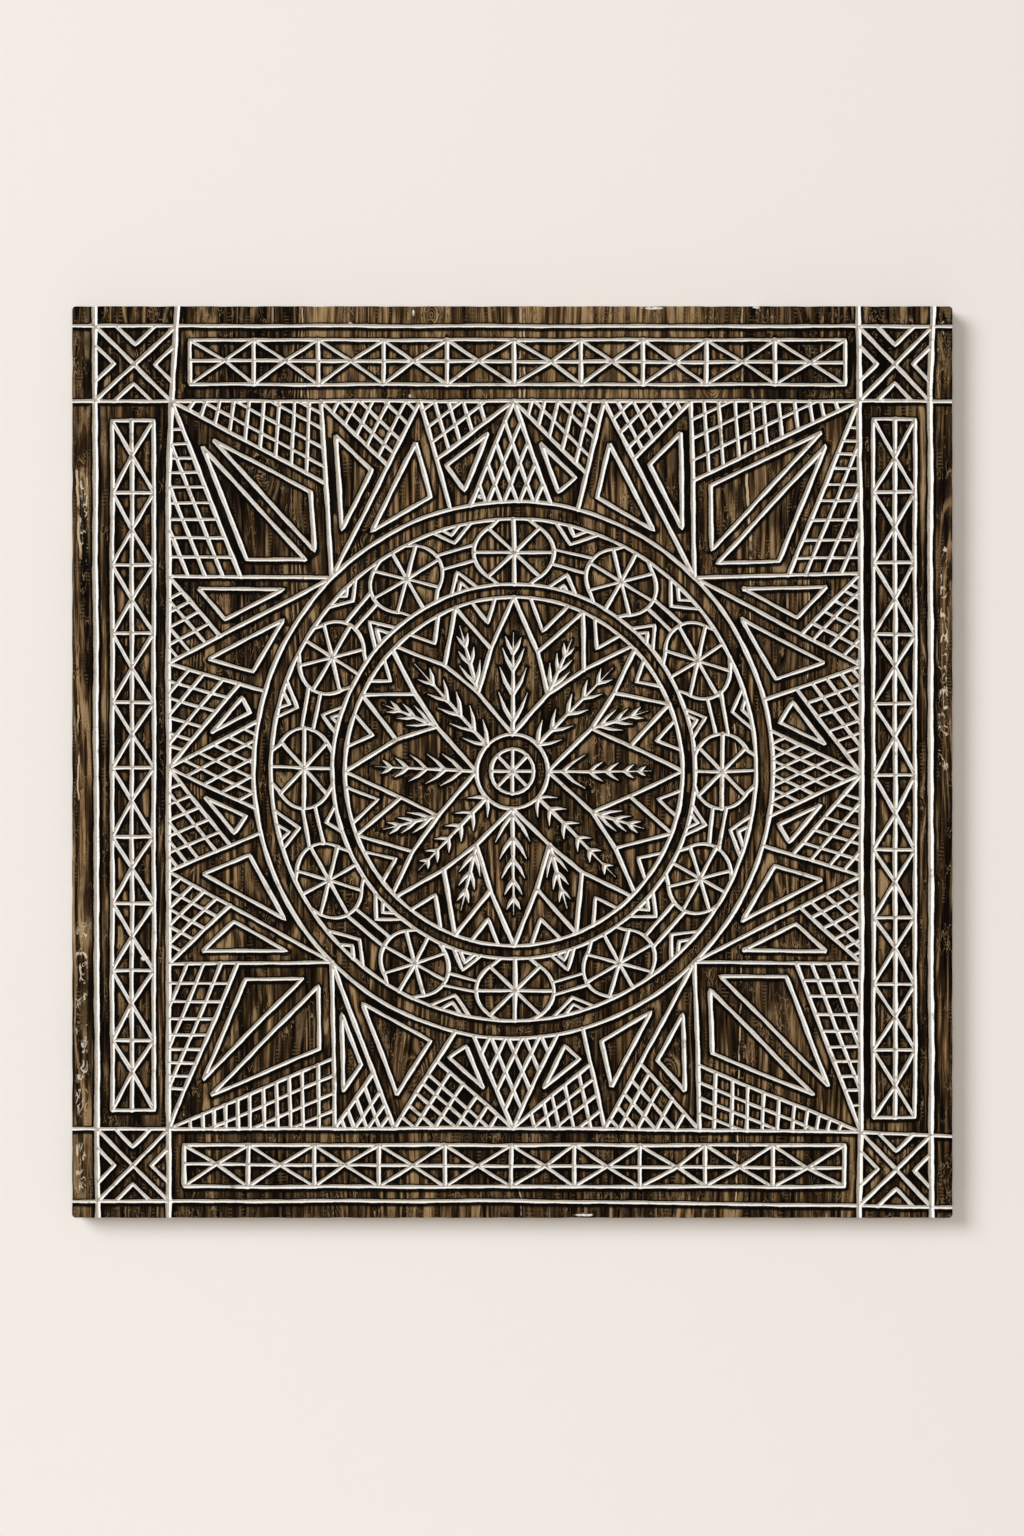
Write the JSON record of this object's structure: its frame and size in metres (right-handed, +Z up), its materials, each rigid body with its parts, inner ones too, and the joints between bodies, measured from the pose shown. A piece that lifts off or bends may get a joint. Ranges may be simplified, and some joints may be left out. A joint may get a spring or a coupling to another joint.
{
  "type": "carved wall panel",
  "caption": "Square panel of dark boards glued edge to edge, its front cut with a limed geometric V-groove carving: a star in rings of wheels, spikes, corner blocks and zigzag borders.",
  "frame": {"origin": "middle of the flat back, which lies against the wall", "axes": "+Z up, +X to the right seen from the front, the carved front faces -Y and the back's normal is +Y"},
  "size_m": [0.9, 0.025, 0.932],
  "materials": {
    "left_board_wood": "dark stained, worn, grooves limed white",
    "left_middle_board_wood": "dark stained, worn, grooves limed white",
    "right_middle_board_wood": "dark stained, worn, grooves limed white",
    "right_board_wood": "dark stained, worn, grooves limed white"
  },
  "bodies": {
    "root": {"left_board": "left_board_wood", "left_middle_board": "left_middle_board_wood", "right_middle_board": "right_middle_board_wood", "right_board": "right_board_wood"}
  },
  "joints": []
}
